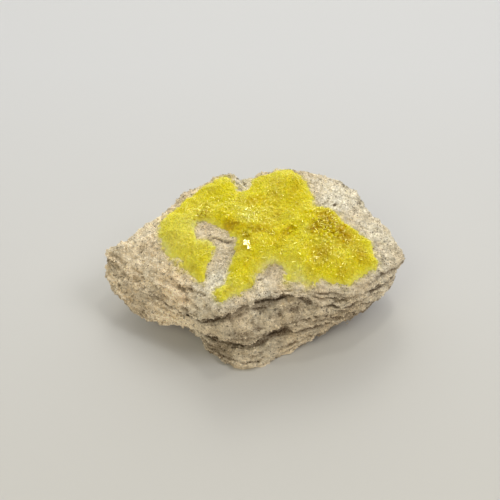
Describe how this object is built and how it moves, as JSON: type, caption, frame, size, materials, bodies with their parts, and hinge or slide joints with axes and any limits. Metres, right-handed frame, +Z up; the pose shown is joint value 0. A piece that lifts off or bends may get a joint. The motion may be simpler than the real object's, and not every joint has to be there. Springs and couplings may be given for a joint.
{
  "type": "native sulfur crystal specimen on matrix",
  "caption": "Loose hand specimen: a glittering crust of pale yellow sulfur crystals grown over the top of a bedded, cracked lump of porous matrix rock.",
  "frame": {"origin": "middle of the specimen's footprint, on the surface it stands on", "axes": "+X along the rock's longest side, to the right seen from its broken front; +Z up; -Y towards the broken front"},
  "size_m": [0.0906, 0.0619, 0.0307],
  "materials": {
    "matrix_rock": "matt, porous, fine-grained cream to buff rock with dark specks and pits, broken along its bedding",
    "sulfur": "translucent, resinous, sparkling lemon to amber yellow crystals"
  },
  "bodies": {
    "root": {"matrix_rock": "matrix_rock", "sulfur_crust": "sulfur"}
  },
  "joints": []
}
